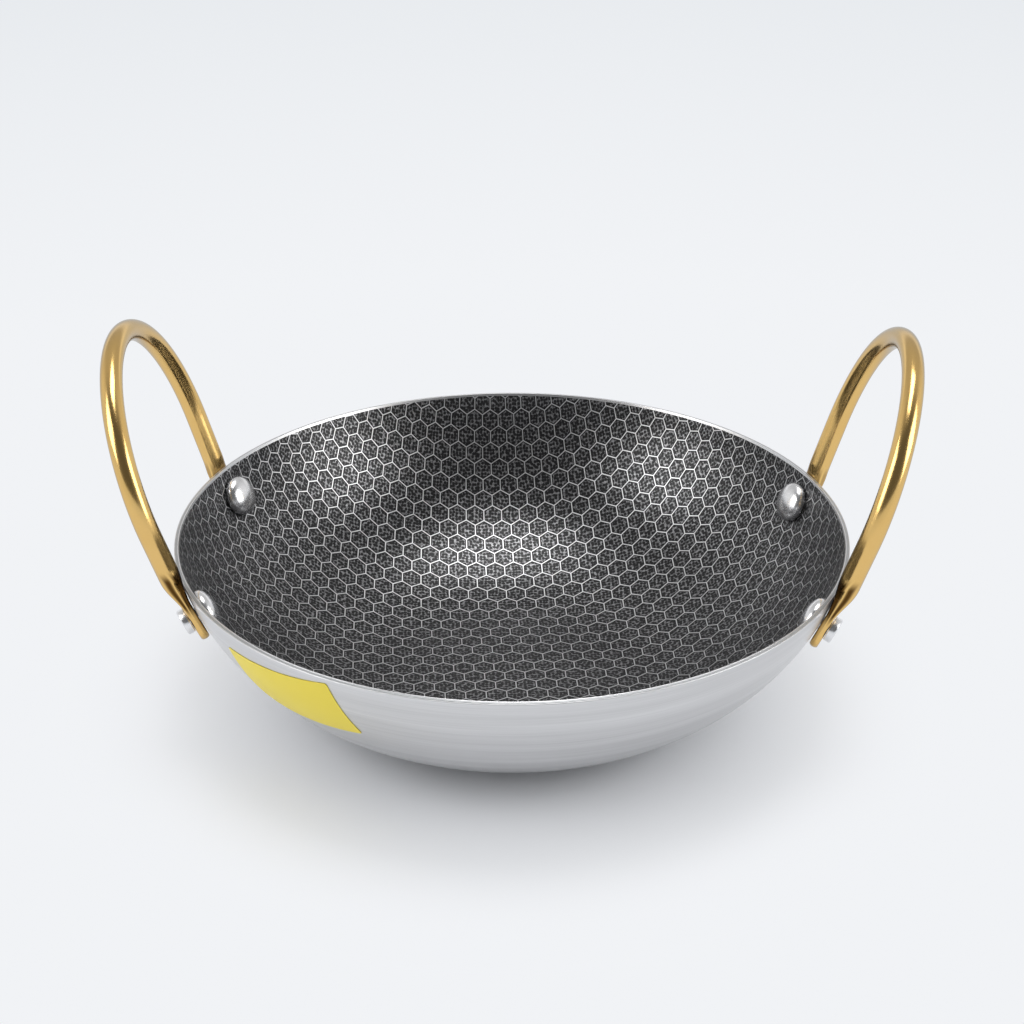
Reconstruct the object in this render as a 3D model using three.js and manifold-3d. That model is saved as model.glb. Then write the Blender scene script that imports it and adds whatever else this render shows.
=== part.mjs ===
// Small two-handled wok: a clad sheet bowl with a coated inside, and two bent tube handles
// whose flattened ends are riveted through the wall. Millimetres and degrees, +Z up.
// The origin is the centre of the flat underside, and the handles stand along X.

import * as THREE from 'three';
import { mergeVertices } from 'three/addons/utils/BufferGeometryUtils.js';
import Module from 'manifold-3d';

// Bowl: a flat floor that turns into the rim on one arc
const RIM_RADIUS = 110;
const FLOOR_RADIUS = 35;
const RIM_SLOPE = 74.5;
const OUTER_PLY = 0.5;
const CORE_PLY = 0.55;
const INNER_PLY = 0.4;
const COATING = 0.05;

// Rivets: domed head inside the bowl, plain upset tail outside
const RIVET_DROP = 10.3;
const RIVET_AZIMUTH = 22.95;
const SHANK_DIAMETER = 5;
const HEAD_DIAMETER = 13.6;
const HEAD_HEIGHT = 4.2;
const HEAD_EDGE = 0.5;
const TAIL_DIAMETER = 8.4;
const TAIL_HEIGHT = 2.4;
const TAIL_CHAMFER = 0.4;

// Handles: round tube, pressed flat over the wall and bent to a leaning arch
const TUBE_DIAMETER = 7;
const TUBE_WALL = 1.3;
const EAR_THICKNESS = 2.8;
const EAR_TIP = 8.5;
const EAR_RISE = 14;
const CRIMP_LENGTH = 4.5;
const SHOULDER_BEND = 30;
const HANDLE_LEAN = 18;
const HANDLE_REACH = 66.5;
const LEG_SPREAD = 4.4;

// Label: a plain paper sticker on the outside of the wall
const LABEL_WIDTH = 45;
const LABEL_HEIGHT = 24;
const LABEL_THICKNESS = 0.12;
const LABEL_CORNER = 1;
const LABEL_AZIMUTH = -128.9;
const LABEL_DROP = 17.8;
const LABEL_TILT = 7.8;

// Fits
const BOND_GAP = 0.01;
const SEAT_GAP = 0.2;
const SHANK_CLEARANCE = 0.3;
const LABEL_GAP = 0.05;

// Facets
const BOWL_SEGMENTS = 48;
const BOWL_ARC_STEPS = 8;
const RIVET_SEGMENTS = 16;
const HOLE_SIDES = 12;
const DOME_STEPS = 4;
const TUBE_SIDES = 16;
const BORE_SIDES = 8;
const BEND_STEPS = 2;
const CRIMP_STEPS = 4;
const ARCH_STEPS = 16;

const wasm = await Module();
wasm.setup();

const radians = THREE.MathUtils.degToRad;
const coreDepth = OUTER_PLY + BOND_GAP;
const innerDepth = coreDepth + CORE_PLY + BOND_GAP;
const coatDepth = innerDepth + INNER_PLY + BOND_GAP;
const WALL = coatDepth + COATING;
const OUTER_ARC = (RIM_RADIUS - FLOOR_RADIUS) / Math.sin(radians(RIM_SLOPE));
const INNER_ARC = OUTER_ARC - WALL;

// A closed geometry as a solid that can be joined and cut
function solidOf(geometry) {
  const bare = new THREE.BufferGeometry();
  bare.setAttribute('position', geometry.getAttribute('position').clone());
  bare.setIndex(geometry.index ? geometry.index.clone() : null);
  const merged = mergeVertices(bare, 1e-4);
  const corners = merged.index.array;
  const kept = [];
  for (let i = 0; i < corners.length; i += 3) {
    const [a, b, c] = [corners[i], corners[i + 1], corners[i + 2]];
    if (a !== b && b !== c && c !== a) kept.push(a, b, c);
  }
  return new wasm.Manifold(new wasm.Mesh({
    numProp: 3,
    vertProperties: new Float32Array(merged.getAttribute('position').array),
    triVerts: new Uint32Array(kept),
  }));
}

// A solid back as a geometry
function geometryOf(solid) {
  const mesh = solid.getMesh();
  const geometry = new THREE.BufferGeometry();
  geometry.setAttribute('position', new THREE.BufferAttribute(new Float32Array(mesh.vertProperties), 3));
  geometry.setIndex(new THREE.BufferAttribute(new Uint32Array(mesh.triVerts), 1));
  geometry.computeVertexNormals();
  return geometry;
}

// A profile of [radius, height] points turned about Z, from the axis round to the axis
function turned(profile, segments) {
  const points = profile.map(([radius, height]) => new THREE.Vector2(radius, height));
  return new THREE.LatheGeometry(points, segments).rotateX(Math.PI / 2);
}

// A point of the wall's section: depth is measured in from the outer surface
function wallSection(slope, depth) {
  const arc = OUTER_ARC - depth;
  return [FLOOR_RADIUS + arc * Math.sin(slope), OUTER_ARC - arc * Math.cos(slope)];
}

// One layer of the bowl between two depths
function bowlLayer(outside, inside) {
  const curve = (depth) => {
    const points = [[0, depth]];
    for (let i = 0; i <= BOWL_ARC_STEPS; i += 1) {
      points.push(wallSection(radians(RIM_SLOPE) * i / BOWL_ARC_STEPS, depth));
    }
    return points;
  };
  return turned([...curve(outside), ...curve(inside).reverse()], BOWL_SEGMENTS);
}

// The frame on the outer surface at an azimuth and slope: X along the rim, Y up the wall, Z out of it
function wallFrame(azimuth, slope) {
  const out = new THREE.Vector3(Math.cos(azimuth), Math.sin(azimuth), 0);
  const up = new THREE.Vector3(0, 0, 1);
  const along = up.clone().cross(out);
  const rise = out.clone().multiplyScalar(Math.cos(slope)).addScaledVector(up, Math.sin(slope));
  const normal = along.clone().cross(rise);
  const [radius, height] = wallSection(slope, 0);
  const place = out.multiplyScalar(radius).setZ(height);
  return new THREE.Matrix4().makeBasis(along, rise, normal).setPosition(place);
}

// The rivets pierce the wall square to it, at a drop below the inner edge of the rim
const rimHeight = wallSection(radians(RIM_SLOPE), WALL)[1];
const rivetSlope = Math.acos((OUTER_ARC - rimHeight + RIVET_DROP) / INNER_ARC);
const rivetFrames = [-1, 1].map((side) => wallFrame(side * radians(RIVET_AZIMUTH), rivetSlope));
const holeRadius = SHANK_DIAMETER / 2 + SHANK_CLEARANCE;
const halfTurn = new THREE.Matrix4().makeRotationZ(Math.PI);

// A hole cutter along a rivet's axis, long enough for the wall and the ear
function rivetHole(frame) {
  const reach = 4 * (WALL + EAR_THICKNESS);
  const drill = new THREE.CylinderGeometry(holeRadius, holeRadius, reach, HOLE_SIDES);
  return solidOf(drill.rotateX(Math.PI / 2).applyMatrix4(frame));
}

const wallHoles = rivetFrames.flatMap((frame) => [
  rivetHole(frame),
  rivetHole(halfTurn.clone().multiply(frame)),
]);

function piercedLayer(outside, inside) {
  const blank = solidOf(bowlLayer(outside, inside));
  return geometryOf(wallHoles.reduce((layer, hole) => layer.subtract(hole), blank));
}

// Rivet along Z from the outer surface of the wall. The flat of the head bears on the facets of
// the hollow wall at its edge, so it stands off the middle by what the widest facet turns there.
const facetTurn = Math.max(360 / BOWL_SEGMENTS, RIM_SLOPE / BOWL_ARC_STEPS);
const headStandOff = HEAD_DIAMETER / 2 * Math.sin(radians(facetTurn / 2)) + SEAT_GAP;

function rivetGeometry() {
  const head = HEAD_DIAMETER / 2;
  const shank = SHANK_DIAMETER / 2;
  const tail = TAIL_DIAMETER / 2;
  const headSeat = -WALL - headStandOff;
  const domeHeight = HEAD_HEIGHT - HEAD_EDGE;
  const domeRadius = (head * head + domeHeight * domeHeight) / (2 * domeHeight);
  const domeSpan = 2 * Math.atan(domeHeight / head);
  const tailSeat = 2 * SEAT_GAP + EAR_THICKNESS;
  const profile = [];
  for (let i = 0; i <= DOME_STEPS; i += 1) {
    const angle = domeSpan * i / DOME_STEPS;
    profile.push([domeRadius * Math.sin(angle), headSeat - HEAD_HEIGHT + domeRadius * (1 - Math.cos(angle))]);
  }
  profile.push(
    [head, headSeat],
    [shank, headSeat],
    [shank, tailSeat],
    [tail, tailSeat],
    [tail, tailSeat + TAIL_HEIGHT - TAIL_CHAMFER],
    [tail - TAIL_CHAMFER, tailSeat + TAIL_HEIGHT],
    [0, tailSeat + TAIL_HEIGHT],
  );
  return turned(profile, RIVET_SEGMENTS);
}

// Handle centre line. Each ear lies flat on the wall at its rivet; its shoulder turns into a leg,
// and the two legs, spread a little, meet in one arch in a plane that leans out from the bowl.
const earHalf = EAR_THICKNESS / 2;
const tubeRadius = TUBE_DIAMETER / 2;
const lean = radians(HANDLE_LEAN);
const spread = radians(LEG_SPREAD);
const leanUp = new THREE.Vector3(Math.sin(lean), 0, Math.cos(lean));
const leanOut = new THREE.Vector3(Math.cos(lean), 0, -Math.sin(lean));

function earLine(frame) {
  const along = new THREE.Vector3();
  const rise = new THREE.Vector3();
  const normal = new THREE.Vector3();
  frame.extractBasis(along, rise, normal);
  const middle = new THREE.Vector3().setFromMatrixPosition(frame).addScaledVector(normal, earHalf + SEAT_GAP);
  return {
    rise,
    normal,
    tip: middle.clone().addScaledVector(rise, -EAR_TIP),
    shoulder: middle.clone().addScaledVector(rise, EAR_RISE),
  };
}

class ArchCurve extends THREE.Curve {
  constructor(centre, radius, start, end) {
    super();
    Object.assign(this, { centre, radius, start, end });
  }

  getPoint(t) {
    const angle = THREE.MathUtils.lerp(this.start, this.end, t);
    return this.centre.clone()
      .addScaledVector(leanUp, this.radius * Math.sin(angle))
      .setY(this.radius * Math.cos(angle));
  }

  getTangent(t) {
    const angle = THREE.MathUtils.lerp(this.start, this.end, t);
    return leanUp.clone().multiplyScalar(-Math.cos(angle)).setY(Math.sin(angle));
  }
}

// Stations along the tube from one ear's tip to the other's, each with its place, direction,
// the normal of its flat, and how flat it is pressed: 1 in the ears and 0 in the round tube
function handleStations() {
  const ears = rivetFrames.map(earLine);
  const middle = ears[0].shoulder.clone().setY(0);
  const halfSpan = ears[1].shoulder.y;
  const archRise = (HANDLE_REACH - halfSpan * Math.cos(spread)) / (1 + Math.sin(spread));
  const archRadius = HANDLE_REACH - archRise;
  const archCentre = middle.clone().addScaledVector(leanUp, archRise);
  const arch = new ArchCurve(archCentre, archRadius, Math.PI + spread, -spread);

  const legSide = (ear, archEnd) => {
    const leg = archEnd.clone().sub(ear.shoulder).normalize();
    const turn = SHOULDER_BEND * Math.tan(leg.angleTo(ear.rise) / 2);
    const bendStart = ear.shoulder.clone().addScaledVector(ear.rise, -turn);
    const bendEnd = ear.shoulder.clone().addScaledVector(leg, turn);
    const bend = new THREE.QuadraticBezierCurve3(bendStart, ear.shoulder, bendEnd);
    const stations = [{ place: ear.tip, heading: ear.rise, normal: ear.normal, flat: 1 }];
    for (let i = 0; i <= BEND_STEPS; i += 1) {
      const t = i / BEND_STEPS;
      stations.push({ place: bend.getPoint(t), heading: bend.getTangent(t), normal: ear.normal, flat: 1 });
    }
    for (let i = 1; i <= CRIMP_STEPS; i += 1) {
      const t = i / CRIMP_STEPS;
      const flat = 1 - THREE.MathUtils.smoothstep(t, 0, 1);
      const place = bendEnd.clone().addScaledVector(leg, CRIMP_LENGTH * t);
      stations.push({ place, heading: leg, normal: leanOut.clone().lerp(ear.normal, flat), flat });
    }
    return stations;
  };

  const near = legSide(ears[0], arch.getPoint(0));
  const far = legSide(ears[1], arch.getPoint(1)).reverse();
  far.forEach((station) => { station.heading = station.heading.clone().negate(); });
  const round = [];
  for (let i = 0; i <= ARCH_STEPS; i += 1) {
    const t = i / ARCH_STEPS;
    round.push({ place: arch.getPoint(t), heading: arch.getTangent(t), normal: leanOut, flat: 0 });
  }
  return [...near, ...round, ...far];
}

// A tube swept through the stations. Pressing keeps the length round the wall, so a section that
// gets thinner gets wider: two half rounds joined by flats. An inset gives the bore.
function pressedTube(stations, sides, inset) {
  const last = stations.length - 1;
  const tube = new THREE.CylinderGeometry(1, 1, 1, sides, last);
  const position = tube.getAttribute('position');
  const place = new THREE.Vector3();
  const toFace = 1 / Math.cos(Math.PI / sides);
  for (let i = 0; i < position.count; i += 1) {
    place.fromBufferAttribute(position, i);
    const station = stations[Math.round((place.y + 0.5) * last)];
    const half = THREE.MathUtils.lerp(tubeRadius, earHalf, station.flat);
    const flats = Math.PI / 2 * (tubeRadius - half);
    const onRing = Math.hypot(place.x, place.z) > 0.5 ? 1 : 0;
    const angle = Math.atan2(place.x, place.z) + Math.PI / sides;
    const across = Math.cos(angle);
    const through = Math.sin(angle);
    const heading = station.heading.clone().normalize();
    const thick = station.normal.clone().addScaledVector(heading, -station.normal.dot(heading)).normalize();
    const wide = thick.clone().cross(heading);
    const size = (half - inset) * toFace;
    place.copy(station.place)
      .addScaledVector(wide, onRing * (Math.sign(across) * flats + across * size))
      .addScaledVector(thick, onRing * through * size);
    position.setXYZ(i, place.x, place.y, place.z);
  }
  return tube;
}

// What is trimmed off an ear's end to leave it round, across the ear in the rivet's frame
function earTrim(frame) {
  const halfWidth = Math.PI / 2 * (tubeRadius - earHalf) + earHalf;
  const outside = 2 * halfWidth;
  const roundCentre = halfWidth - EAR_TIP;
  const corner = new THREE.Shape();
  corner.moveTo(-outside, roundCentre);
  corner.lineTo(-outside, -EAR_TIP - halfWidth);
  corner.lineTo(outside, -EAR_TIP - halfWidth);
  corner.lineTo(outside, roundCentre);
  corner.lineTo(halfWidth, roundCentre);
  corner.absarc(0, roundCentre, halfWidth, 0, -Math.PI, true);
  const deep = 2 * EAR_THICKNESS;
  const block = new THREE.ExtrudeGeometry(corner, { depth: deep, bevelEnabled: false, curveSegments: 8 });
  block.translate(0, 0, SEAT_GAP + earHalf - deep / 2);
  return solidOf(block.applyMatrix4(frame));
}

function handleGeometry() {
  const stations = handleStations();
  const beyond = (station, way) => {
    const place = station.place.clone().addScaledVector(station.heading, way * EAR_THICKNESS);
    return { ...station, place };
  };
  const boreStations = [beyond(stations[0], -1), ...stations.slice(1, -1), beyond(stations.at(-1), 1)];
  let handle = solidOf(pressedTube(stations, TUBE_SIDES, 0));
  handle = handle.subtract(solidOf(pressedTube(boreStations, BORE_SIDES, TUBE_WALL)));
  rivetFrames.forEach((frame) => {
    handle = handle.subtract(rivetHole(frame)).subtract(earTrim(frame));
  });
  return geometryOf(handle);
}

// Label: a sheet that follows the outside of the wall, cut out square to the wall at its middle
function labelGeometry() {
  const slope = radians(RIM_SLOPE) - LABEL_DROP / OUTER_ARC;
  const [x, y, r] = [LABEL_WIDTH / 2, LABEL_HEIGHT / 2, LABEL_CORNER];
  const outline = new THREE.Shape();
  outline.moveTo(r - x, -y);
  outline.lineTo(x - r, -y).absarc(x - r, r - y, r, -Math.PI / 2, 0);
  outline.lineTo(x, y - r).absarc(x - r, y - r, r, 0, Math.PI / 2);
  outline.lineTo(r - x, y).absarc(r - x, y - r, r, Math.PI / 2, Math.PI);
  outline.lineTo(-x, r - y).absarc(r - x, r - y, r, Math.PI, 1.5 * Math.PI);
  const punch = new THREE.ExtrudeGeometry(outline, { depth: LABEL_WIDTH, bevelEnabled: false, curveSegments: 3 });
  punch.translate(0, 0, -LABEL_WIDTH / 2);
  punch.rotateZ(radians(LABEL_TILT));
  punch.applyMatrix4(wallFrame(radians(LABEL_AZIMUTH), slope));
  const sheet = solidOf(bowlLayer(-LABEL_GAP - LABEL_THICKNESS, -LABEL_GAP));
  return geometryOf(sheet.intersect(solidOf(punch)));
}

function finish(color, roughness, metalness) {
  return new THREE.MeshStandardMaterial({ color, roughness, metalness });
}

function piece(name, geometry, material) {
  const mesh = new THREE.Mesh(geometry, material);
  mesh.name = name;
  return mesh;
}

const wok = new THREE.Group();
wok.add(
  piece('outer_ply', piercedLayer(0, OUTER_PLY), finish(0xc9c9cb, 0.3, 1)),
  piece('core_ply', piercedLayer(coreDepth, coreDepth + CORE_PLY), finish(0xb9bbbf, 0.45, 1)),
  piece('inner_ply', piercedLayer(innerDepth, innerDepth + INNER_PLY), finish(0xcfcfd1, 0.3, 1)),
  piece('nonstick_coating', piercedLayer(coatDepth, WALL), finish(0x3a3a3f, 0.5, 0)),
  piece('label', labelGeometry(), finish(0xe3cf49, 0.6, 0)),
);

// Each side is one handle with its two rivets; the left side is the right one turned half round
for (const [side, angle] of [['right', 0], ['left', Math.PI]]) {
  const group = new THREE.Group();
  group.rotation.z = angle;
  group.add(piece(`handle_${side}`, handleGeometry(), finish(0xc0ac79, 0.18, 1)));
  const ends = side === 'right' ? ['front', 'rear'] : ['rear', 'front'];
  rivetFrames.forEach((frame, i) => {
    const rivet = piece(`rivet_${side}_${ends[i]}`, rivetGeometry(), finish(0xd6d6d8, 0.3, 1));
    rivet.applyMatrix4(frame);
    group.add(rivet);
  });
  wok.add(group);
}

export default wok;
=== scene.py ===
import math

import bmesh
import bpy
import numpy as np
from mathutils import Matrix, Vector


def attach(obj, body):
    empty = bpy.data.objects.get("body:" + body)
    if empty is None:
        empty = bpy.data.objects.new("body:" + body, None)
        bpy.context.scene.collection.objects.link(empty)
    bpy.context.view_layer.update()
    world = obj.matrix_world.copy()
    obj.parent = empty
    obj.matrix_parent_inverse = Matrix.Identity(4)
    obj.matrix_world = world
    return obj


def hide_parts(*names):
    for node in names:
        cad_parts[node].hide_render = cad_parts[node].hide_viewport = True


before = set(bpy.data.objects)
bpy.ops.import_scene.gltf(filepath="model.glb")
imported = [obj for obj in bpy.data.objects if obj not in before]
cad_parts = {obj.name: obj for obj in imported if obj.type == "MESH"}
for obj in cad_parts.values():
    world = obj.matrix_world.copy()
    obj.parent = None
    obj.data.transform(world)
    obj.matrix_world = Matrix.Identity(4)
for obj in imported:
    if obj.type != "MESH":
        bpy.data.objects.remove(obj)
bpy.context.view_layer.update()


# Outer wall of the bowl: the outside sheet of a clad wall of three, stainless steel. A flat round
# blank is drawn over a die into a bowl with a flat base, spun to a satin grain that runs round
# the axis, and polished along its lip. Its colour is darkened towards the base as painted shade.
RIM_RADIUS = 0.110
FLOOR_RADIUS = 0.035
RIM_SLOPE = math.radians(74.5)
WALL_ARC = (RIM_RADIUS - FLOOR_RADIUS) / math.sin(RIM_SLOPE)
WALL_SIDES = 192
OUTER_SHEET = (0.0, 0.00050)
# Painted shade: the height span and the tone to which the steel's colour is darkened towards the base.
BASE_SHADE_SPAN = (0.0, 0.018)
POLISHED_LIP = (0.0556, 0.0564)
STEEL_TONE = (0.635, 0.70)
STEEL_BLUE = 1.012
BRUSHED_TONE = (0.94, 1.06)
BASE_SHADE_TONE = (0.46, 1.0)
SATIN_ROUGHNESS = (0.33, 0.41)
POLISHED_ROUGHNESS = 0.8


def wall_point(slope, depth):
    """Radius and height on the wall's section, at a slope up from the floor and a depth in."""
    arc = WALL_ARC - depth
    return FLOOR_RADIUS + arc * math.sin(slope), WALL_ARC - arc * math.cos(slope)


def sheet_section(depths, rim_slope, edge, rows):
    """Closed half section of one sheet: from the axis up outside, over its lip and back inside."""
    outside, inside = depths
    turn = edge / WALL_ARC
    climb = [(rim_slope - turn) * i / rows for i in range(rows)]
    quarter = [math.pi / 2 * i / 4 for i in range(5)]
    section = [(0.0, outside)] + [wall_point(slope, outside) for slope in climb]
    for angle in quarter:
        slope = rim_slope - turn * (1 - math.sin(angle))
        section.append(wall_point(slope, outside + edge * (1 - math.cos(angle))))
    for angle in quarter:
        slope = rim_slope - turn * (1 - math.cos(angle))
        section.append(wall_point(slope, inside - edge * (1 - math.sin(angle))))
    section += [wall_point(slope, inside) for slope in reversed(climb)] + [(0.0, inside)]
    return section


def spun(name, section, sides):
    """A body of revolution: its half section is drawn point by point and spun round Z."""
    bpy.ops.object.select_all(action="DESELECT")
    bpy.ops.mesh.primitive_plane_add(size=0.001)
    body = bpy.context.object
    body.name = body.data.name = name
    bpy.ops.object.mode_set(mode="EDIT")
    bpy.ops.mesh.merge(type="CENTER")
    bpy.ops.transform.translate(value=(section[0][0], 0, section[0][1]))
    for (r0, z0), (r1, z1) in zip(section, section[1:]):
        bpy.ops.mesh.extrude_vertices_move(TRANSFORM_OT_translate={"value": (r1 - r0, 0, z1 - z0)})
    bpy.ops.mesh.select_all(action="SELECT")
    bpy.ops.mesh.spin(steps=sides, angle=2 * math.pi, center=(0, 0, 0), axis=(0, 0, 1))
    bpy.ops.mesh.select_all(action="SELECT")
    bpy.ops.mesh.remove_doubles(threshold=0.000001)
    bpy.ops.mesh.normals_make_consistent(inside=False)
    bpy.ops.object.mode_set(mode="OBJECT")
    bpy.ops.object.shade_smooth_by_angle(angle=math.radians(35))
    return body


outer_wall = spun("outer_wall", sheet_section(OUTER_SHEET, RIM_SLOPE, edge=0.00022, rows=40), WALL_SIDES)


def material(name):
    """A new material, its node tree and its Principled BSDF."""
    made = bpy.data.materials.new(name)
    made.use_nodes = True
    return made, made.node_tree, made.node_tree.nodes["Principled BSDF"]


def feed(tree, node, inputs):
    """Fill inputs of a node: another node's output is linked, a plain value is set."""
    for socket, value in inputs.items():
        if isinstance(value, bpy.types.NodeSocket):
            tree.links.new(value, node.inputs[socket])
        else:
            node.inputs[socket].default_value = value


def add(tree, kind, inputs=None, **settings):
    """A new node of a kind, with its settings made and its inputs fed."""
    node = tree.nodes.new(kind)
    for setting, choice in settings.items():
        setattr(node, setting, choice)
    feed(tree, node, inputs or {})
    return node


def maths(tree, operation, first, second):
    """Two values put together."""
    return add(tree, "ShaderNodeMath", {0: first, 1: second}, operation=operation).outputs[0]


def vectors(tree, operation, *values):
    """Vectors put together, or measured."""
    node = add(tree, "ShaderNodeVectorMath", dict(enumerate(values)), operation=operation)
    return node.outputs["Value" if operation in ("LENGTH", "DOT_PRODUCT") else "Vector"]


def ramp(tree, value, spread, ends=(0.0, 1.0), eased=False):
    """A value that crosses a spread, led from one end to the other and held there."""
    inputs = {"Value": value}
    inputs["From Min"], inputs["From Max"] = spread
    inputs["To Min"], inputs["To Max"] = ends
    node = add(tree, "ShaderNodeMapRange", inputs)
    if eased:
        node.interpolation_type = "SMOOTHSTEP"
    return node.outputs[0]


def noise(tree, place, scale, detail, roughness, **settings):
    """Noise at a place, between 0 and 1."""
    inputs = {"Vector": place, "Scale": scale, "Detail": detail, "Roughness": roughness}
    return add(tree, "ShaderNodeTexNoise", inputs, **settings).outputs["Fac"]


def bump(tree, height, strength, distance):
    """A normal that follows a fine relief."""
    inputs = {"Height": height, "Strength": strength, "Distance": distance}
    return add(tree, "ShaderNodeBump", inputs).outputs[0]


def object_place(tree):
    """The place on the piece, in the shared frame."""
    return add(tree, "ShaderNodeTexCoord").outputs["Object"]


def round_axis(tree):
    """The direction round Z, along which brushed steel smears its highlights."""
    return add(tree, "ShaderNodeTangent", direction_type="RADIAL", axis="Z").outputs[0]


def spun_grain_group():
    """Fine rings round Z, as turning and brushing leave them, with slower bands between."""
    group = bpy.data.node_groups.new("spun_grain", "ShaderNodeTree")
    group.interface.new_socket("Position", in_out="INPUT", socket_type="NodeSocketVector")
    group.interface.new_socket("Fine", in_out="OUTPUT", socket_type="NodeSocketFloat")
    group.interface.new_socket("Bands", in_out="OUTPUT", socket_type="NodeSocketFloat")
    position = add(group, "NodeGroupInput").outputs["Position"]
    flat = vectors(group, "MULTIPLY", position, (1, 1, 0))
    height = add(group, "ShaderNodeSeparateXYZ", {0: position}).outputs["Z"]
    climb = maths(group, "ADD", height, vectors(group, "LENGTH", flat))
    rings = add(group, "ShaderNodeCombineXYZ", {"Z": climb}).outputs[0]
    bearing = vectors(group, "NORMALIZE", flat)
    place = vectors(group, "MULTIPLY_ADD", bearing, (0.9, 0.9, 0), rings)
    fine_place = vectors(group, "MULTIPLY", place, (0.0012, 0.0012, 1))
    band_place = vectors(group, "MULTIPLY", place, (0.003, 0.003, 1))
    fine = noise(group, fine_place, scale=2600.0, detail=3.0, roughness=0.6)
    bands = noise(group, band_place, scale=260.0, detail=2.0, roughness=0.5)
    add(group, "NodeGroupOutput", {"Fine": fine, "Bands": bands})
    return group


spun_grain = spun_grain_group()


def grain_of(tree):
    """The spun grain of a material: its fine rings and its bands."""
    grain = add(tree, "ShaderNodeGroup", node_tree=spun_grain)
    feed(tree, grain, {"Position": object_place(tree)})
    return grain.outputs["Fine"], grain.outputs["Bands"]


spun_steel, tree, shader = material("spun_steel")
fine, bands = grain_of(tree)
height = add(tree, "ShaderNodeSeparateXYZ", {0: object_place(tree)}).outputs["Z"]
banded = ramp(tree, bands, (0.3, 0.7), STEEL_TONE)
brushed = ramp(tree, fine, (0.3, 0.7), BRUSHED_TONE)
lined = maths(tree, "MULTIPLY", banded, brushed)
# Painted shade: the steel's colour is darkened towards the base, next to the floor.
shade = maths(tree, "MULTIPLY", lined, ramp(tree, height, BASE_SHADE_SPAN, BASE_SHADE_TONE))
cool = maths(tree, "MULTIPLY", shade, STEEL_BLUE)
satin = ramp(tree, fine, (0.25, 0.75), SATIN_ROUGHNESS)
polish = ramp(tree, height, POLISHED_LIP, (1.0, POLISHED_ROUGHNESS))
feed(tree, shader, {
    "Metallic": 1.0,
    "Anisotropic": 0.7,
    "Base Color": add(tree, "ShaderNodeCombineColor", {0: shade, 1: shade, 2: cool}).outputs[0],
    "Roughness": maths(tree, "MULTIPLY", satin, polish),
    "Normal": bump(tree, fine, strength=0.05, distance=0.0002),
    "Tangent": round_axis(tree),
})
outer_wall.data.materials.append(spun_steel)
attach(outer_wall, "root")
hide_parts("outer_ply")


# Core sheet of the wall: aluminium rolled between the two steels to spread the heat. It shows only
# as a dull line along the lip, where the blank was trimmed.
CORE_SHEET = (0.00051, 0.00106)
CORE_DARK = (0.40, 0.41, 0.42, 1)
CORE_LIGHT = (0.55, 0.56, 0.57, 1)
CORE_ROUGHNESS = (0.38, 0.5)

core_sheet = spun("core_sheet", sheet_section(CORE_SHEET, RIM_SLOPE, edge=0.00008, rows=24), WALL_SIDES)


def mixed(tree, share, first, second):
    """Two colours, mixed by the share of the second."""
    inputs = {"Factor": share, "A": first, "B": second}
    return add(tree, "ShaderNodeMix", inputs, data_type="RGBA").outputs["Result"]


core_metal, tree, shader = material("core_metal")
fine, bands = grain_of(tree)
feed(tree, shader, {
    "Metallic": 1.0,
    "Base Color": mixed(tree, fine, CORE_DARK, CORE_LIGHT),
    "Roughness": ramp(tree, bands, (0.0, 1.0), CORE_ROUGHNESS),
})
core_sheet.data.materials.append(core_metal)
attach(core_sheet, "root")
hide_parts("core_ply")


# Inner sheet of the wall: stainless steel, etched with a honeycomb while flat. It shows bare as a
# narrow polished band under the lip, above the coating.
INNER_SHEET = (0.00107, 0.00147)
LIP_DARK = (0.70, 0.70, 0.71, 1)
LIP_LIGHT = (0.80, 0.80, 0.81, 1)
LIP_ROUGHNESS = (0.24, 0.32)

inner_sheet = spun("inner_sheet", sheet_section(INNER_SHEET, RIM_SLOPE, edge=0.00012, rows=32), WALL_SIDES)
lip_steel, tree, shader = material("lip_steel")
fine, bands = grain_of(tree)
feed(tree, shader, {
    "Metallic": 1.0,
    "Anisotropic": 0.3,
    "Base Color": mixed(tree, bands, LIP_DARK, LIP_LIGHT),
    "Roughness": ramp(tree, fine, (0.0, 1.0), LIP_ROUGHNESS),
    "Tangent": round_axis(tree),
})
inner_sheet.data.materials.append(lip_steel)
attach(inner_sheet, "root")
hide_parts("inner_ply")


# Nonstick coating: a charcoal film baked into the etched sheet. In each honeycomb cell it fills
# small round pits, with steel showing between them, and a dark margin runs inside the cell's border.
# The pattern lies as it was etched on the flat blank, before drawing.
COATING = (0.00148, 0.00153)
BARE_LIP = 0.0009
COATED_SLOPE = RIM_SLOPE - BARE_LIP / WALL_ARC
INNER_ARC = WALL_ARC - COATING[1]
CELL_PITCH = 0.00687
HALF_ROW = math.sqrt(3) / 2
BLANK_TURN = math.radians(4.75)
BLANK_SHIFT = (0.00096, 0.01045)
BLANK_DRAW = 0.2
CELL_MARGIN = (0.44, 0.39)
PITS_PER_CELL = 5.4
PIT_EDGE = (0.39, 0.54)
CHARCOAL = (0.006, 0.006, 0.007, 1)
ETCHED_STEEL = (0.36, 0.36, 0.37, 1)
BARE_METAL = 0.9
COATING_ROUGHNESS = (0.33, 0.29)


def blank_radius(slope):
    """How far out on the flat blank a ring of the inside came from, before it was stretched."""
    length = FLOOR_RADIUS + INNER_ARC * slope
    area = FLOOR_RADIUS ** 2 / 2 + INNER_ARC * (FLOOR_RADIUS * slope + INNER_ARC * (1 - np.cos(slope)))
    return (1 - BLANK_DRAW) * length + BLANK_DRAW * np.sqrt(2 * area)


def points_of(piece):
    """The places of a piece's vertices, one row for each."""
    points = np.empty(len(piece.data.vertices) * 3)
    piece.data.vertices.foreach_get("co", points)
    return points.reshape(-1, 3)


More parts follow.
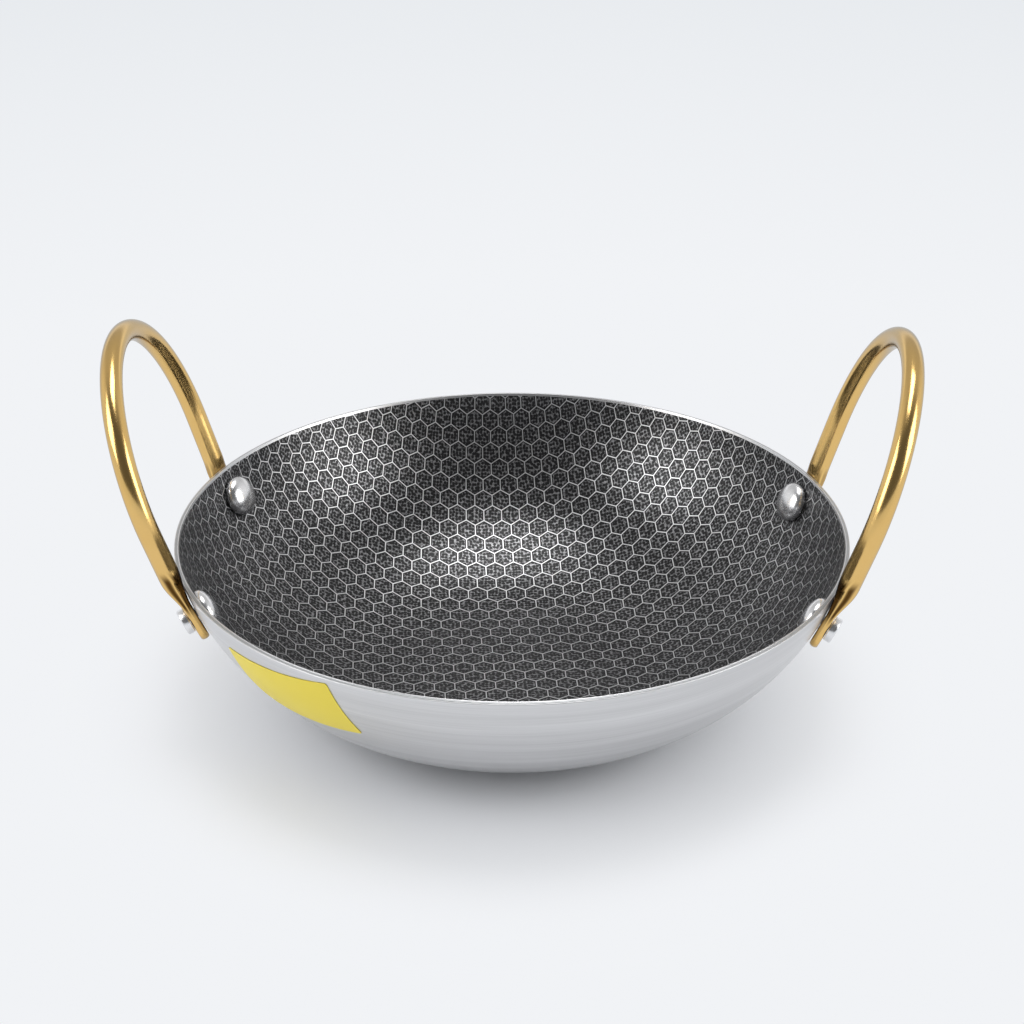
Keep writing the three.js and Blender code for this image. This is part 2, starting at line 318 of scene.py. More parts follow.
coating = spun("coating", sheet_section(COATING, COATED_SLOPE, edge=0.00002, rows=48), WALL_SIDES)
points = points_of(coating)
reach = np.hypot(points[:, 0], points[:, 1])
slope = np.arcsin(np.clip((reach - FLOOR_RADIUS) / INNER_ARC, 0, 1))
flat_reach = np.where(reach > FLOOR_RADIUS, blank_radius(slope), reach)
bearing = np.arctan2(points[:, 1], points[:, 0]) - BLANK_TURN
cells = np.zeros_like(points)
cells[:, 0] = (flat_reach * np.cos(bearing) - BLANK_SHIFT[0]) / CELL_PITCH
cells[:, 1] = (flat_reach * np.sin(bearing) - BLANK_SHIFT[1]) / CELL_PITCH
cell_places = coating.data.attributes.new("cells", "FLOAT_VECTOR", "POINT")
cell_places.data.foreach_set("vector", cells.ravel())


def nearest_of_lattice(tree, place):
    """Offset from the nearest point of a triangular lattice of pitch 1, with rows along X."""
    most = (0.5, HALF_ROW, 1.0)
    least = (-0.5, -HALF_ROW, -1.0)
    even = vectors(tree, "WRAP", place, most, least)
    moved = vectors(tree, "SUBTRACT", place, (0.5, HALF_ROW, 0))
    odd = vectors(tree, "WRAP", moved, most, least)
    closer = maths(tree, "LESS_THAN", vectors(tree, "LENGTH", even), vectors(tree, "LENGTH", odd))
    inputs = {"Factor": closer, "A": odd, "B": even}
    return add(tree, "ShaderNodeMix", inputs, data_type="VECTOR").outputs["Result"]


charcoal, tree, shader = material("charcoal_coating")
cell_place = add(tree, "ShaderNodeAttribute", attribute_name="cells").outputs["Vector"]
flat = vectors(tree, "MULTIPLY", cell_place, (1, 1, 0))
in_cell = vectors(tree, "ABSOLUTE", nearest_of_lattice(tree, flat))
sideways = add(tree, "ShaderNodeSeparateXYZ", {0: in_cell}).outputs["X"]
slanted = vectors(tree, "DOT_PRODUCT", in_cell, (0.5, HALF_ROW, 0))
within = ramp(tree, maths(tree, "MAXIMUM", sideways, slanted), CELL_MARGIN)
pits = add(tree, "ShaderNodeTexVoronoi", voronoi_dimensions="2D")
feed(tree, pits, {"Vector": flat, "Scale": PITS_PER_CELL, "Randomness": 0.6})
between = ramp(tree, pits.outputs["Distance"], PIT_EDGE, eased=True)
patchy = noise(tree, flat, scale=7.0, detail=2.0, roughness=0.7, noise_dimensions="2D")
worn = ramp(tree, patchy, (0.36, 0.66), (0.15, 1.0))
shown = maths(tree, "MULTIPLY", between, within)
speck = maths(tree, "MULTIPLY", shown, worn)
feed(tree, shader, {
    "Specular IOR Level": 0.35,
    "Base Color": mixed(tree, speck, CHARCOAL, ETCHED_STEEL),
    "Metallic": maths(tree, "MULTIPLY", speck, BARE_METAL),
    "Roughness": ramp(tree, shown, (0.0, 1.0), COATING_ROUGHNESS),
    "Normal": bump(tree, shown, strength=0.10, distance=0.0002),
})
coating.data.materials.append(charcoal)
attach(coating, "root")
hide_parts("nonstick_coating")


# Honeycomb ridges: the borders of the cells, left standing when the inner sheet was etched, bare
# bright steel a little proud of the coating. They are made flat, one cell repeated, then drawn
# into the bowl with the blank.
RIDGE_WIDTH = 0.00036
RIDGE_PROUD = 0.00006
RIDGE_ROOT = 0.00003
RIDGE_HEIGHT = RIDGE_PROUD + RIDGE_ROOT
COLUMNS = 43
ROW_PAIRS = 25
ROW_STEP = HALF_ROW * CELL_PITCH
RIDGE_DARK = (0.60, 0.60, 0.61, 1)
RIDGE_LIGHT = (0.86, 0.86, 0.87, 1)
RIDGE_ROUGHNESS = (0.37, 0.44)

first_cell = (
    BLANK_SHIFT[0] - CELL_PITCH * (COLUMNS // 2),
    BLANK_SHIFT[1] - 2 * ROW_STEP * (ROW_PAIRS // 2),
    0,
)
bpy.ops.object.select_all(action="DESELECT")
bpy.ops.mesh.primitive_circle_add(
    vertices=6, radius=CELL_PITCH / math.sqrt(3), fill_type="NGON", location=first_cell
)
ridges = bpy.context.object
ridges.name = ridges.data.name = "honeycomb_ridges"
bpy.ops.object.transform_apply(location=True, rotation=False, scale=False)
bpy.ops.object.mode_set(mode="EDIT")
bpy.ops.mesh.select_all(action="SELECT")
bpy.ops.mesh.duplicate_move(TRANSFORM_OT_translate={"value": (CELL_PITCH / 2, ROW_STEP, 0)})
bpy.ops.object.mode_set(mode="OBJECT")
repeats = {
    "along": (COLUMNS, (CELL_PITCH, 0, 0)),
    "across": (ROW_PAIRS, (0, 2 * ROW_STEP, 0)),
}
for way, (number, step) in repeats.items():
    repeat = ridges.modifiers.new(way, "ARRAY")
    repeat.count = number
    repeat.use_relative_offset = False
    repeat.use_constant_offset = True
    repeat.constant_offset_displace = step
    bpy.ops.object.modifier_apply(modifier=way)
bpy.ops.object.mode_set(mode="EDIT")
bpy.ops.mesh.select_all(action="SELECT")
bpy.ops.mesh.remove_doubles(threshold=0.00002)
bpy.ops.transform.rotate(value=-BLANK_TURN, orient_axis="Z", center_override=(0, 0, 0))
edge_of_blank = float(blank_radius(np.float64(COATED_SLOPE)))
shape = bmesh.from_edit_mesh(ridges.data)
for face in shape.faces:
    face.select = face.calc_center_median().length > edge_of_blank + CELL_PITCH
shape.select_flush_mode()
bmesh.update_edit_mesh(ridges.data)
bpy.ops.mesh.delete(type="FACE")
bpy.ops.mesh.select_all(action="SELECT")
bpy.ops.mesh.inset(thickness=RIDGE_WIDTH / 2, use_individual=True, use_even_offset=True)
bpy.ops.mesh.delete(type="FACE")
bpy.ops.mesh.select_all(action="SELECT")
bpy.ops.mesh.normals_make_consistent(inside=False)
bpy.ops.object.mode_set(mode="OBJECT")
thick = ridges.modifiers.new("thick", "SOLIDIFY")
thick.thickness = RIDGE_HEIGHT
thick.offset = 0
bpy.ops.object.modifier_apply(modifier="thick")
bpy.ops.object.select_all(action="DESELECT")
bpy.ops.mesh.primitive_cylinder_add(vertices=256, radius=edge_of_blank, depth=0.01)
trim = bpy.context.object
bpy.ops.object.select_all(action="DESELECT")
bpy.context.view_layer.objects.active = ridges
ridges.select_set(True)
cut = ridges.modifiers.new("cut", "BOOLEAN")
cut.operation = "INTERSECT"
cut.solver = "MANIFOLD"
cut.object = trim
bpy.ops.object.modifier_apply(modifier="cut")
bpy.data.objects.remove(trim)

points = points_of(ridges)
flat_reach = np.hypot(points[:, 0], points[:, 1])
bearing = np.arctan2(points[:, 1], points[:, 0])
slopes = np.linspace(0, RIM_SLOPE, 400)
slope = np.interp(flat_reach, blank_radius(slopes), slopes)
arc = INNER_ARC + RIDGE_ROOT - RIDGE_HEIGHT / 2 - points[:, 2]
reach = np.where(flat_reach < FLOOR_RADIUS, flat_reach, FLOOR_RADIUS + arc * np.sin(slope))
drawn = np.empty_like(points)
drawn[:, 0] = reach * np.cos(bearing)
drawn[:, 1] = reach * np.sin(bearing)
drawn[:, 2] = WALL_ARC - arc * np.cos(slope)
ridges.data.vertices.foreach_set("co", drawn.ravel())
ridges.data.update()
bpy.ops.object.shade_smooth_by_angle(angle=math.radians(30))

ridge_steel, tree, shader = material("ridge_steel")
patchy = noise(tree, object_place(tree), scale=420.0, detail=3.0, roughness=0.6)
feed(tree, shader, {
    "Metallic": 1.0,
    "Base Color": mixed(tree, patchy, RIDGE_DARK, RIDGE_LIGHT),
    "Roughness": ramp(tree, patchy, (0.3, 0.7), RIDGE_ROUGHNESS),
})
ridges.data.materials.clear()
ridges.data.materials.append(ridge_steel)
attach(ridges, "root")


# Handles: two loops of gold-toned metal tube, bent to an arch, the ends pressed flat into ears
# that lie on the wall, cut round, and held by one rivet each. The sides crease where the tube goes
# flat. A painted shade darkens the creases and the side towards the wall to a deep brown, more on
# the front legs than on the rear ones.
FRONT = -1
REAR = 1
TUBE_RADIUS = 0.0035
TUBE_SIDES = 56
TIP_STEPS = 14
EAR_STEPS = 17
BEND_STEPS = 8
CRIMP_STEPS = 14
LEG_STEPS = 8
ARCH_STEPS = 64
HANDLE_REACH = 0.0665
HANDLE_LEAN = math.radians(18)
LEG_SPREAD = math.radians(4.4)
SHOULDER_BEND = 0.030
SEAT_GAP = 0.0002
EAR_HALF = 0.0014
EAR_HALF_WIDTH = EAR_HALF + math.pi / 2 * (TUBE_RADIUS - EAR_HALF)
EAR_TIP = 0.0085
EAR_RISE = 0.014
EAR_ROUNDING = 0.0007
TIP_HALF_WIDTH = 0.0004
TIP_THINNING = 0.05
TIP_CROWDING = 1.8
CRIMP_LENGTH = {FRONT: 0.0085, REAR: 0.0045}
TAPER = {FRONT: (0.0046, 0.0168), REAR: (0.0046, 0.0120)}
FOLD = {FRONT: (0.0050, 0.0190), REAR: (0.0070, 0.0158)}
CREASED = {FRONT: 1.0, REAR: 0.4}
CREASE_START = 0.002
CREASE_RISE = 0.005
CREASE_END = {FRONT: 0.0210, REAR: 0.0165}
CREASE_FALL = 0.004
CREASE_DEPTH = 0.00045
GROOVE_PLACE = 0.38
GROOVE_SPREAD = 0.24
# Painted shade: where the tube goes flat, the creases and the side of the flats towards the wall are
# painted deep brown.
SHADE_START = 0.06
SHADE_RISE = 0.16
SHADE_END = 0.8
SHADE_FALL = 0.3
SHADE_STRENGTH = 0.97
RIVET_AZIMUTH = math.radians(22.95)
RIVET_DROP = 0.0103
rim_height = wall_point(RIM_SLOPE, COATING[1])[1]
RIVET_SLOPE = math.acos((WALL_ARC - rim_height + RIVET_DROP) / INNER_ARC)
GOLD = (0.75, 0.48, 0.16, 1)
PALE_GOLD = (0.82, 0.555, 0.215, 1)
# Painted shade: the deep brown laid into the creases and on the side towards the wall.
SHADED_GOLD = (0.075, 0.032, 0.005, 1)
GOLD_EDGE = (0.66, 0.74, 0.88, 1)
GOLD_ROUGHNESS = (0.14, 0.24)

lean_up = Vector((math.sin(HANDLE_LEAN), 0, math.cos(HANDLE_LEAN)))
lean_out = Vector((math.cos(HANDLE_LEAN), 0, -math.sin(HANDLE_LEAN)))


def wall_frame(azimuth, slope):
    """A place on the outside of the wall: X along the rim, Y up the wall, Z straight out of it."""
    out = Vector((math.cos(azimuth), math.sin(azimuth), 0))
    up = Vector((0, 0, 1))
    along = up.cross(out)
    rise = out * math.cos(slope) + up * math.sin(slope)
    normal = along.cross(rise)
    reach, height = wall_point(slope, 0.0)
    turn = Matrix((along, rise, normal)).transposed().to_4x4()
    return Matrix.Translation(out * reach + up * height) @ turn


def smooth(t):
    """An eased step from 0 to 1."""
    t = min(max(t, 0.0), 1.0)
    return t * t * (3 - 2 * t)


def leg_stations(side):
    """Stations up one leg, from the ear's tip to the foot of the arch.

    Each is a place, a heading, the flat's normal, the thickness to the wall and to the outside, half
    the width and how deep the crease is.
    """
    ear = wall_frame(side * RIVET_AZIMUTH, RIVET_SLOPE)
    rise = ear.to_3x3() @ Vector((0, 1, 0))
    normal = ear.to_3x3() @ Vector((0, 0, 1))
    middle = ear.translation + normal * (EAR_HALF + SEAT_GAP)
    shoulder = middle + rise * EAR_RISE
    half_span = abs(shoulder.y)
    arch_rise = (HANDLE_REACH - half_span * math.cos(LEG_SPREAD)) / (1 + math.sin(LEG_SPREAD))
    arch_radius = HANDLE_REACH - arch_rise
    centre = Vector((shoulder.x, 0, shoulder.z)) + lean_up * arch_rise
    aside = Vector((0, side * arch_radius * math.cos(LEG_SPREAD), 0))
    arch_foot = centre + aside - lean_up * (arch_radius * math.sin(LEG_SPREAD))
    leg = (arch_foot - shoulder).normalized()
    turn = SHOULDER_BEND * math.tan(leg.angle(rise) / 2)
    crimp = CRIMP_LENGTH[side]
    stations = []

    def swell(up_leg, span):
        return EAR_HALF + (TUBE_RADIUS - EAR_HALF) * smooth((up_leg - span[0]) / (span[1] - span[0]))

    def pressed(up_leg, place, heading, flat_normal):
        to_wall = swell(up_leg, FOLD[side])
        to_out = swell(up_leg, TAPER[side])
        mean = (to_wall + to_out) / 2
        width = mean + math.pi / 2 * (TUBE_RADIUS - mean)
        crease = smooth((up_leg - CREASE_START) / CREASE_RISE)
        crease *= smooth((CREASE_END[side] - up_leg) / CREASE_FALL)
        crease *= CREASED[side]
        stations.append((place, heading, flat_normal, to_wall, to_out, width, crease))

    for i in range(TIP_STEPS + 1):
        t = (i / TIP_STEPS) ** TIP_CROWDING * EAR_HALF_WIDTH
        width = max(math.sqrt(max(2 * EAR_HALF_WIDTH * t - t * t, 0)), TIP_HALF_WIDTH)
        edge = math.sqrt(max(1 - (1 - min(t / EAR_ROUNDING, 1)) ** 2, 0))
        thick = EAR_HALF * max(edge, TIP_THINNING)
        stations.append((middle + rise * (t - EAR_TIP), rise, normal, thick, thick, width, 0.0))
    straight = EAR_HALF_WIDTH - EAR_TIP
    for i in range(1, EAR_STEPS):
        up_leg = straight + (EAR_RISE - turn - straight) * i / EAR_STEPS
        pressed(up_leg, middle + rise * up_leg, rise, normal)
    bend_start = shoulder - rise * turn
    bend_end = shoulder + leg * turn
    for i in range(BEND_STEPS + 1):
        t = i / BEND_STEPS
        place = bend_start * (1 - t) ** 2 + shoulder * 2 * t * (1 - t) + bend_end * t * t
        heading = ((shoulder - bend_start) * (1 - t) + (bend_end - shoulder) * t).normalized()
        pressed(EAR_RISE + turn * (2 * t - 1), place, heading, normal)
    for i in range(1, CRIMP_STEPS + 1):
        t = i / CRIMP_STEPS
        up_leg = turn + crimp * t
        pressed(EAR_RISE + up_leg, shoulder + leg * up_leg, leg, normal.lerp(lean_out, smooth(t)))
    foot = shoulder + leg * (turn + crimp)
    for i in range(1, LEG_STEPS):
        place = foot.lerp(arch_foot, i / LEG_STEPS)
        stations.append((place, leg, lean_out, TUBE_RADIUS, TUBE_RADIUS, TUBE_RADIUS, 0.0))
    return stations, centre, arch_radius


def tube_handle(name):
    """The right handle: rings of the pressed tube from one ear's tip, over the arch, to the other's."""
    stations, centre, arch_radius = leg_stations(FRONT)
    for i in range(ARCH_STEPS + 1):
        angle = math.pi + LEG_SPREAD - (math.pi + 2 * LEG_SPREAD) * i / ARCH_STEPS
        up = lean_up * (arch_radius * math.sin(angle))
        place = centre + up + Vector((0, arch_radius * math.cos(angle), 0))
        heading = lean_up * -math.cos(angle) + Vector((0, math.sin(angle), 0))
        stations.append((place, heading, lean_out, TUBE_RADIUS, TUBE_RADIUS, TUBE_RADIUS, 0.0))
    rear_leg = leg_stations(REAR)[0]
    stations += [(place, -heading, *rest) for place, heading, *rest in reversed(rear_leg)]
    shape = bmesh.new()
    run_of = shape.verts.layers.float_vector.new("run")
    shade_of = shape.verts.layers.float.new("crease")
    rings = []
    run = 0.0
    last = stations[0][0]
    for place, heading, normal, to_wall, to_out, width, crease in stations:
        run += (place - last).length
        last = place
        through = (normal - heading * normal.dot(heading)).normalized()
        wide = through.cross(heading)
        round_half = min((to_wall + to_out) / 2, width)
        flats = width - round_half
        ring = []
        for k in range(TUBE_SIDES):
            angle = 2 * math.pi * (k + 0.5) / TUBE_SIDES
            across, deep = math.cos(angle), math.sin(angle)
            groove = crease * math.exp(-(((abs(deep) - GROOVE_PLACE) / GROOVE_SPREAD) ** 2))
            aside = math.copysign(flats - CREASE_DEPTH * groove, across) + across * round_half
            depth = deep * min(to_out if deep > 0 else to_wall, width)
            vert = shape.verts.new(place + wide * aside + through * depth)
            vert[run_of] = (TUBE_RADIUS * across, TUBE_RADIUS * deep, run)
            # Painted shade mask: away from the middle of the fold, and full on the side towards the wall.
            off_middle = smooth((abs(deep) - SHADE_START) / SHADE_RISE)
            below_top = 1.0 if deep < 0 else smooth((SHADE_END - deep) / SHADE_FALL)
            vert[shade_of] = crease * off_middle * below_top
            ring.append(vert)
        rings.append(ring)
    for low, high in zip(rings, rings[1:]):
        for k in range(TUBE_SIDES):
            beside = (k + 1) % TUBE_SIDES
            shape.faces.new((low[k], low[beside], high[beside], high[k]))
    shape.faces.new(rings[0])
    shape.faces.new(list(reversed(rings[-1])))
    bmesh.ops.recalc_face_normals(shape, faces=shape.faces)
    mesh = bpy.data.meshes.new(name)
    shape.to_mesh(mesh)
    shape.free()
    handle = bpy.data.objects.new(name, mesh)
    bpy.context.collection.objects.link(handle)
    bpy.ops.object.select_all(action="DESELECT")
    bpy.context.view_layer.objects.active = handle
    handle.select_set(True)
    bpy.ops.object.shade_smooth_by_angle(angle=math.radians(50))
    return handle


handle_right = tube_handle("handle_loop_right")
gold, tree, shader = material("gold_tube")
run = add(tree, "ShaderNodeAttribute", attribute_name="run").outputs["Vector"]
drawn_out = vectors(tree, "MULTIPLY", run, (900, 900, 22))
streaks = noise(tree, drawn_out, scale=1.0, detail=3.0, roughness=0.55)
smudge = noise(tree, object_place(tree), scale=70.0, detail=3.0, roughness=0.6)
# Painted shade: the crease attribute darkens the gold to deep brown.
shade_mask = add(tree, "ShaderNodeAttribute", attribute_name="crease").outputs["Fac"]
painted_shade = maths(tree, "MULTIPLY", shade_mask, SHADE_STRENGTH)
feed(tree, shader, {
    "Metallic": 1.0,
    "Specular Tint": GOLD_EDGE,
    "Base Color": mixed(tree, painted_shade, mixed(tree, smudge, GOLD, PALE_GOLD), SHADED_GOLD),
    "Roughness": ramp(tree, streaks, (0.25, 0.75), GOLD_ROUGHNESS),
    "Normal": bump(tree, streaks, strength=0.05, distance=0.0003),
})
handle_right.data.materials.append(gold)
handle_left = handle_right.copy()
handle_left.data = handle_right.data.copy()
handle_left.name = handle_left.data.name = "handle_loop_left"
bpy.context.collection.objects.link(handle_left)
handle_left.data.transform(Matrix.Scale(-1, 4, (1, 0, 0)))
handle_left.data.flip_normals()
for handle, node in ((handle_right, "handle_right"), (handle_left, "handle_left")):
    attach(handle, "root")
    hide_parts(node)


# Rivets: satin metal, one through each ear and the wall, with a wide domed head inside the bowl
# and a plain end outside, upset square with a broken edge. The flat of the head stands clear of
# the curve of the wall.
HEAD_RADIUS = 0.0068
HEAD_HEIGHT = 0.0042
HEAD_EDGE = 0.0005
HEAD_STANDOFF = 0.00075
HEAD_SEAT = -COATING[1] - HEAD_STANDOFF
DOME_FULLNESS = 0.9
DOME_STEPS = 24
SHANK_RADIUS = 0.0025
TAIL_RADIUS = 0.0042
TAIL_HEIGHT = 0.0024
TAIL_SEAT = 2 * SEAT_GAP + 2 * EAR_HALF
TAIL_END = TAIL_SEAT + TAIL_HEIGHT
RIVET_SIDES = 64
RIVET_DARK = (0.76, 0.76, 0.77, 1)
RIVET_LIGHT = (0.87, 0.87, 0.88, 1)
RIVET_ROUGHNESS = (0.22, 0.28)

section = []
for i in range(DOME_STEPS + 1):
    angle = math.pi / 2 * i / DOME_STEPS
    dome = (HEAD_HEIGHT - HEAD_EDGE) * math.cos(angle) ** DOME_FULLNESS
    section.append((HEAD_RADIUS * math.sin(angle), HEAD_SEAT - HEAD_EDGE - dome))
section += [
    (HEAD_RADIUS, HEAD_SEAT - HEAD_EDGE * 0.6),
    (HEAD_RADIUS - 0.00005, HEAD_SEAT - 0.0001),
    (HEAD_RADIUS - 0.0002, HEAD_SEAT),
    (SHANK_RADIUS, HEAD_SEAT),
    (SHANK_RADIUS, TAIL_SEAT),
    (TAIL_RADIUS - 0.0002, TAIL_SEAT),
    (TAIL_RADIUS, TAIL_SEAT + 0.0002),
    (TAIL_RADIUS, TAIL_END - 0.00042),
    (TAIL_RADIUS - 0.00012, TAIL_END - 0.00018),
    (TAIL_RADIUS - 0.0004, TAIL_END),
    (TAIL_RADIUS - 0.0011, TAIL_END),
    (TAIL_RADIUS - 0.0019, TAIL_END - 0.00018),
    (0.0, TAIL_END - 0.00026),
]
rivet = spun("rivet", section, RIVET_SIDES)

rivet_metal, tree, shader = material("rivet_metal")
tumbled = noise(tree, object_place(tree), scale=900.0, detail=3.0, roughness=0.6)
feed(tree, shader, {
    "Metallic": 1.0,
    "Base Color": mixed(tree, tumbled, RIVET_DARK, RIVET_LIGHT),
    "Roughness": ramp(tree, tumbled, (0.25, 0.75), RIVET_ROUGHNESS),
    "Normal": bump(tree, tumbled, strength=0.015, distance=0.0002),
})
rivet.data.materials.append(rivet_metal)

half_turn = Matrix.Rotation(math.pi, 4, "Z")
front = wall_frame(-RIVET_AZIMUTH, RIVET_SLOPE)
rear = wall_frame(RIVET_AZIMUTH, RIVET_SLOPE)
places = {
    "rivet_right_front": front,
    "rivet_right_rear": rear,
    "rivet_left_front": half_turn @ rear,
    "rivet_left_rear": half_turn @ front,
}
for node, place in places.items():
    piece = rivet.copy()
    piece.data = rivet.data.copy()
    piece.name = piece.data.name = node.replace("rivet", "riveted")
    bpy.context.collection.objects.link(piece)
    piece.data.transform(place)
    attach(piece, "root")
    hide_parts(node)
bpy.data.objects.remove(rivet)


# Label: a plain yellow paper sticker, die cut with small round corners, stuck to the outside of
# the wall and smoothed to its curve, a little askew.
LABEL_WIDTH = 0.045
LABEL_HEIGHT = 0.024
LABEL_CORNER = 0.001
LABEL_THICKNESS = 0.00012
LABEL_GAP = 0.00005
LABEL_AZIMUTH = math.radians(-128.9)
LABEL_DROP = 0.0178
LABEL_SLOPE = RIM_SLOPE - LABEL_DROP / WALL_ARC
LABEL_TILT = math.radians(7.8)
LABEL_COLUMNS = 40
LABEL_ROWS = 20
YELLOW = (0.83, 0.66, 0.030, 1)
PALE_YELLOW = (0.88, 0.72, 0.055, 1)
PAPER_ROUGHNESS = (0.42, 0.6)

bpy.ops.object.select_all(action="DESELECT")
bpy.ops.mesh.primitive_plane_add(size=1)
label = bpy.context.object
label.name = label.data.name = "sticker"
label.scale = (LABEL_WIDTH, LABEL_HEIGHT, 1)
bpy.ops.object.transform_apply(location=False, rotation=False, scale=True)
bpy.ops.object.mode_set(mode="EDIT")
bpy.ops.mesh.select_all(action="SELECT")
bpy.ops.mesh.bevel(offset=LABEL_CORNER, segments=6, affect="VERTICES")
for i in range(1, LABEL_COLUMNS):
    bpy.ops.mesh.select_all(action="SELECT")
    bpy.ops.mesh.bisect(plane_co=(LABEL_WIDTH * (i / LABEL_COLUMNS - 0.5), 0, 0), plane_no=(1, 0, 0))
for i in range(1, LABEL_ROWS):
    bpy.ops.mesh.select_all(action="SELECT")
    bpy.ops.mesh.bisect(plane_co=(0, LABEL_HEIGHT * (i / LABEL_ROWS - 0.5), 0), plane_no=(0, 1, 0))
bpy.ops.object.mode_set(mode="OBJECT")
paper_place = label.data.attributes.new("paper", "FLOAT_VECTOR", "POINT")
paper_place.data.foreach_set("vector", points_of(label).ravel())

middle = wall_frame(LABEL_AZIMUTH, LABEL_SLOPE) @ Matrix.Rotation(LABEL_TILT, 4, "Z")
out = middle.to_3x3() @ Vector((0, 0, 1))
for vert in label.data.vertices:
    place = middle @ vert.co
    for _ in range(12):
        off = math.hypot(math.hypot(place.x, place.y) - FLOOR_RADIUS, place.z - WALL_ARC) - WALL_ARC
        place -= out * (off - LABEL_GAP)
    vert.co = place
thick = label.modifiers.new("thick", "SOLIDIFY")
thick.thickness = LABEL_THICKNESS
thick.offset = 1
bpy.ops.object.modifier_apply(modifier="thick")
bpy.ops.object.shade_smooth_by_angle(angle=math.radians(40))

yellow_paper, tree, shader = material("yellow_paper")
place = add(tree, "ShaderNodeAttribute", attribute_name="paper").outputs["Vector"]
fibres = noise(tree, place, scale=1400.0, detail=4.0, roughness=0.65)
faded = noise(tree, place, scale=60.0, detail=2.0, roughness=0.5)
feed(tree, shader, {
    "Coat Weight": 0.15,
    "Coat Roughness": 0.2,
    "Base Color": mixed(tree, faded, YELLOW, PALE_YELLOW),
    "Roughness": ramp(tree, fibres, (0.0, 1.0), PAPER_ROUGHNESS),
    "Normal": bump(tree, fibres, strength=0.1, distance=0.0002),
})
label.data.materials.append(yellow_paper)
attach(label, "root")
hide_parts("label")


# Floor: a wide pale sweep of matt board that the wok stands on. It keeps the shadow near the wok,
# and goes over into an even pale tone further out.
FLOOR_EXTENT = 60.0
FLOOR_DROP = 0.0001
BOARD_DARK = (0.868, 0.880, 0.905, 1)
BOARD_LIGHT = (0.885, 0.897, 0.920, 1)
SWEEP_NEAR = (0.880, 0.895, 0.920, 1)
SWEEP_FAR = (0.800, 0.825, 0.855, 1)
SHADOW_STRETCH = (1.12, 1.04, 1)
SHADOW_SHIFT = (0.004, 0, 0)
SHADOW_FADE = (0.062, 0.165)
SWEEP_FALL = (0.40, 1.10)

bpy.ops.object.select_all(action="DESELECT")
bpy.ops.mesh.primitive_circle_add(
    vertices=96, radius=FLOOR_EXTENT, fill_type="NGON", location=(0, 0, -FLOOR_DROP)
)
floor = bpy.context.object
floor.name = floor.data.name = "floor"
pale_board, tree, shader = material("pale_board")
place = object_place(tree)
mottle = noise(tree, place, scale=3.0, detail=2.0, roughness=0.5)
feed(tree, shader, {
    "Base Color": mixed(tree, mottle, BOARD_DARK, BOARD_LIGHT),
    "Roughness": 0.8,
    "Specular IOR Level": 0.1,
})
stretched = vectors(tree, "MULTIPLY_ADD", place, SHADOW_STRETCH, SHADOW_SHIFT)
away = vectors(tree, "LENGTH", stretched)
pale = mixed(tree, ramp(tree, away, SWEEP_FALL), SWEEP_NEAR, SWEEP_FAR)
sweep = add(tree, "ShaderNodeEmission", {"Color": pale})
path = add(tree, "ShaderNodeLightPath").outputs
seen = maths(tree, "ADD", path["Is Camera Ray"], path["Is Glossy Ray"])
shown = maths(tree, "ADD", seen, path["Is Transmission Ray"])
share = maths(tree, "MULTIPLY", shown, ramp(tree, away, SHADOW_FADE, eased=True))
blend = add(tree, "ShaderNodeMixShader", {0: share, 1: shader.outputs[0], 2: sweep.outputs[0]})
feed(tree, tree.nodes["Material Output"], {"Surface": blend.outputs[0]})
floor.data.materials.append(pale_board)


# Studio light: one softbox overhead and one to each side, in front, in a dim room with paler sides,
# a pale screen low behind and a pale skyline all round.
ROOM_FRONT = 0.13
ROOM_BACK = 0.54
ROOM_SIDES = 0.35
SCREEN_TONE = 0.5


def softbox(name, place, aim, width, height, power):
    """A lamp with a square front, turned to where it aims."""
    lamp = bpy.data.lights.new(name, "AREA")
    lamp.shape = "RECTANGLE"
    lamp.size = width
    lamp.size_y = height
    lamp.energy = power
    box = bpy.data.objects.new(name, lamp)
    box.location = place
    box.rotation_euler = (Vector(aim) - Vector(place)).to_track_quat("-Z", "Y").to_euler()
    bpy.context.collection.objects.link(box)


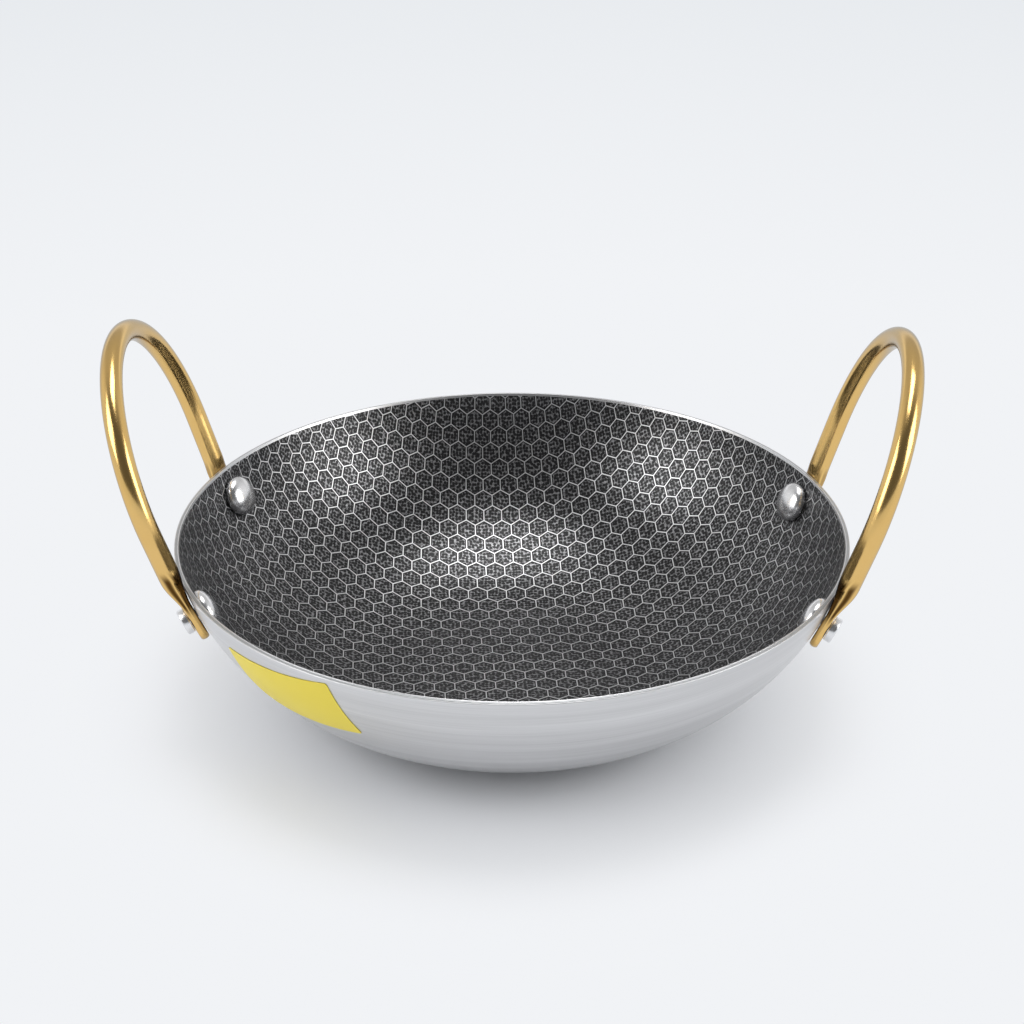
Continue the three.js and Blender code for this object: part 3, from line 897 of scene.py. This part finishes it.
softbox("softbox_top", (0.06, 0.16, 1.24), (0, 0.02, 0), width=0.50, height=0.70, power=5.2)
softbox("softbox_right", (1.16, -0.36, 0.56), (0, 0, 0.05), width=0.70, height=0.85, power=6.6)
softbox("softbox_left", (-1.05, -0.44, 0.72), (0, 0, 0.05), width=0.70, height=0.85, power=6.6)

room = bpy.data.worlds.new("room")
bpy.context.scene.world = room
room.use_nodes = True
tree = room.node_tree
direction = add(tree, "ShaderNodeTexCoord").outputs["Generated"]
way = add(tree, "ShaderNodeSeparateXYZ", {0: direction}).outputs
around = ramp(tree, way["Y"], (-0.4, 0.4), (ROOM_FRONT, ROOM_BACK), eased=True)
sideways = maths(tree, "MULTIPLY", way["X"], way["X"])
flank = ramp(tree, sideways, (0.25, 0.90), (0.0, ROOM_SIDES), eased=True)
behind = ramp(tree, way["Y"], (0.55, 0.85), (0.0, SCREEN_TONE), eased=True)
below = ramp(tree, way["Z"], (0.24, 0.40), (1.0, 0.0), eased=True)
screen = maths(tree, "MULTIPLY", behind, below)
total = maths(tree, "ADD", maths(tree, "ADD", around, flank), screen)
skyline = ramp(tree, way["Z"], (0.10, 0.16), (1.0, 0.0), eased=True)
feed(tree, tree.nodes["Background"], {
    "Color": mixed(tree, skyline, total, SWEEP_FAR),
    "Strength": 1.0,
})


# Camera: long lens, looking down on the near side from a little to the right, and aimed a little
# above the middle of the rim.
VIEW_ELEVATION = math.radians(27.235)
VIEW_TURN = math.radians(1.5)
VIEW_DISTANCE = 0.7342
VIEW_LIFT = math.radians(0.383076)
LENS_LENGTH = 78.66
SENSOR_WIDTH = 36.0

lens = bpy.data.cameras.new("camera")
lens.sensor_width = SENSOR_WIDTH
lens.lens = LENS_LENGTH
camera = bpy.data.objects.new("camera", lens)
bpy.context.collection.objects.link(camera)
camera.location = (
    VIEW_DISTANCE * math.cos(VIEW_ELEVATION) * math.sin(VIEW_TURN),
    -VIEW_DISTANCE * math.cos(VIEW_ELEVATION) * math.cos(VIEW_TURN),
    rim_height + VIEW_DISTANCE * math.sin(VIEW_ELEVATION),
)
camera.rotation_euler = (math.pi / 2 - VIEW_ELEVATION + VIEW_LIFT, 0, VIEW_TURN)
bpy.context.scene.camera = camera
bpy.context.scene.view_settings.view_transform = "Standard"

bpy.context.view_layer.update()
